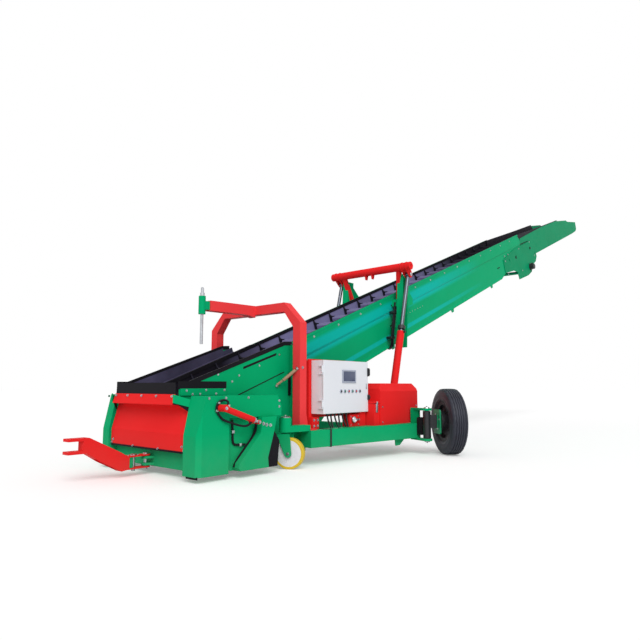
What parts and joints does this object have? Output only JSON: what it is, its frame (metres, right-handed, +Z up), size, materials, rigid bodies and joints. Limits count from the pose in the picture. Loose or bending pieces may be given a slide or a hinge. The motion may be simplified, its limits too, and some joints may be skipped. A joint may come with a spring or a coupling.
{
  "type": "potato stacker",
  "caption": "Mobile store loader: hopper with a flighted rubber belt on a long inclined boom, lift cylinders, gantry with docking pin, control cabinet, steerable wheels and casters.",
  "frame": {"origin": "middle of the overall length and width, on the floor", "axes": "+X along the machine from the drawbar toward the boom's tip, +Z up, the cabinet on the -Y side"},
  "size_m": [13.131, 3.4482, 5.07],
  "materials": {
    "green_paint": "gloss enamel",
    "red_paint": "gloss enamel",
    "white_paint": "fine powder coat",
    "black_rubber": "matte",
    "bright_steel": "zinc plated",
    "chrome_rod": "polished",
    "rim_grey": "satin",
    "tyre": "matte",
    "black_iron": "satin paint",
    "tan_steel": "satin",
    "caster_alloy": "cast",
    "caster_yellow": "cast polyurethane"
  },
  "bodies": {
    "chassis": {"base_frame": "green_paint", "rear_cross": "green_paint", "side_beams": "green_paint", "front_panel": "red_paint", "hopper_sides": "green_paint", "front_covers": "green_paint", "rear_covers": "green_paint", "hopper_rubber": "black_rubber", "hopper_trims": "green_paint", "hopper_sheets": "black_rubber", "gantry_posts": "red_paint", "gantry_beam": "red_paint", "docking_bush": "green_paint", "docking_pin": "bright_steel", "cabinet_body": "white_paint", "cabinet_frame": "red_paint", "cabinet_cables": "black_rubber", "pack_cover": "red_paint", "tool_box": "red_paint", "adjusters": "red_paint", "struts": "tan_steel", "hitch_pins": "bright_steel"},
    "door": {"cabinet_door": "white_paint"},
    "drawbar": {"drawbar": "red_paint", "hitch_block": "green_paint", "lock_pin": "bright_steel"},
    "boom": {"boom_sides": "green_paint", "nose_sides": "green_paint", "boom_cross": "green_paint", "belt": "black_rubber", "rollers": "bright_steel", "side_liners": "black_rubber", "head_brackets": "green_paint", "head_motors": "black_iron", "uprights": "green_paint", "lift_crossbar": "red_paint"},
    "lift_barrel_near": {"lift_barrel_near": "red_paint"},
    "lift_rod_near": {"lift_rod_near": "chrome_rod"},
    "knuckle_near": {"knuckle_near": "green_paint"},
    "wheel_near": {"rim_near": "rim_grey", "tyre_near": "tyre"},
    "caster_near": {"caster_fork_near": "green_paint"},
    "caster_wheel_near": {"caster_core_near": "caster_alloy", "caster_tread_near": "caster_yellow"},
    "lift_barrel_far": {"lift_barrel_far": "red_paint"},
    "lift_rod_far": {"lift_rod_far": "chrome_rod"},
    "knuckle_far": {"knuckle_far": "green_paint"},
    "wheel_far": {"rim_far": "rim_grey", "tyre_far": "tyre"},
    "caster_far": {"caster_fork_far": "green_paint"},
    "caster_wheel_far": {"caster_core_far": "caster_alloy", "caster_tread_far": "caster_yellow"}
  },
  "joints": [
    {"name": "boom_lift", "type": "hinge", "parent": "chassis", "child": "boom", "pos_m": [-5.44551, 0, 0.467], "axis": [0, -1, 0], "range_deg": [-8, 6]},
    {"name": "cabinet_door_hinge", "type": "hinge", "parent": "chassis", "child": "door", "pos_m": [-4.32951, -0.849, 0.788], "axis": [0, 0, -1], "range_deg": [0, 110]},
    {"name": "drawbar_swing", "type": "hinge", "parent": "chassis", "child": "drawbar", "pos_m": [-5.82051, 0, 0.12], "axis": [0, 0, 1], "range_deg": [-35, 35]},
    {"name": "lift_barrel_near_tilt", "type": "hinge", "parent": "chassis", "child": "lift_barrel_near", "pos_m": [-2.70551, -0.582, 0.387], "axis": [0, -1, 0], "range_deg": [-10.76, 8.07]},
    {"name": "lift_rod_near_stroke", "type": "slide", "parent": "lift_barrel_near", "child": "lift_rod_near", "axis": [0.2516, 0, 0.9678], "range_m": [-0.37034, 0.27776]},
    {"name": "steer_near", "type": "hinge", "parent": "chassis", "child": "knuckle_near", "pos_m": [-2.87451, -1.216, 0.3825], "axis": [0, 0, 1], "range_deg": [-49.25, 15.75]},
    {"name": "wheel_near_spin", "type": "hinge", "parent": "knuckle_near", "child": "wheel_near", "pos_m": [-2.67072, -1.39159, 0.3825], "axis": [0.7576, -0.6528, 0], "continuous": true},
    {"name": "caster_near_swivel", "type": "hinge", "parent": "chassis", "child": "caster_near", "pos_m": [-4.75351, -0.736, 0.35], "axis": [0, 0, 1], "continuous": true},
    {"name": "caster_wheel_near_spin", "type": "hinge", "parent": "caster_near", "child": "caster_wheel_near", "pos_m": [-4.73378, -0.77645, 0.15], "axis": [0.8988, 0.4384, 0], "continuous": true},
    {"name": "lift_barrel_far_tilt", "type": "hinge", "parent": "chassis", "child": "lift_barrel_far", "pos_m": [-2.70551, 0.582, 0.387], "axis": [0, -1, 0], "range_deg": [-10.76, 8.07]},
    {"name": "lift_rod_far_stroke", "type": "slide", "parent": "lift_barrel_far", "child": "lift_rod_far", "axis": [0.2516, 0, 0.9678], "range_m": [-0.37034, 0.27776]},
    {"name": "steer_far", "type": "hinge", "parent": "chassis", "child": "knuckle_far", "pos_m": [-2.87451, 1.216, 0.3825], "axis": [0, 0, -1], "range_deg": [-49.25, 15.75]},
    {"name": "wheel_far_spin", "type": "hinge", "parent": "knuckle_far", "child": "wheel_far", "pos_m": [-2.67072, 1.39159, 0.3825], "axis": [0.7576, 0.6528, 0], "continuous": true},
    {"name": "caster_far_swivel", "type": "hinge", "parent": "chassis", "child": "caster_far", "pos_m": [-4.75351, 0.736, 0.35], "axis": [0, 0, 1], "continuous": true},
    {"name": "caster_wheel_far_spin", "type": "hinge", "parent": "caster_far", "child": "caster_wheel_far", "pos_m": [-4.73378, 0.77645, 0.15], "axis": [-0.8988, 0.4384, 0], "continuous": true}
  ],
  "couplings": [
    {"joint": "lift_barrel_near_tilt", "follows": "boom_lift", "ratio": 1.3456},
    {"joint": "lift_rod_near_stroke", "follows": "boom_lift", "m_per_rad": 2.6524},
    {"joint": "lift_barrel_far_tilt", "follows": "boom_lift", "ratio": 1.3456},
    {"joint": "lift_rod_far_stroke", "follows": "boom_lift", "m_per_rad": 2.6524}
  ]
}
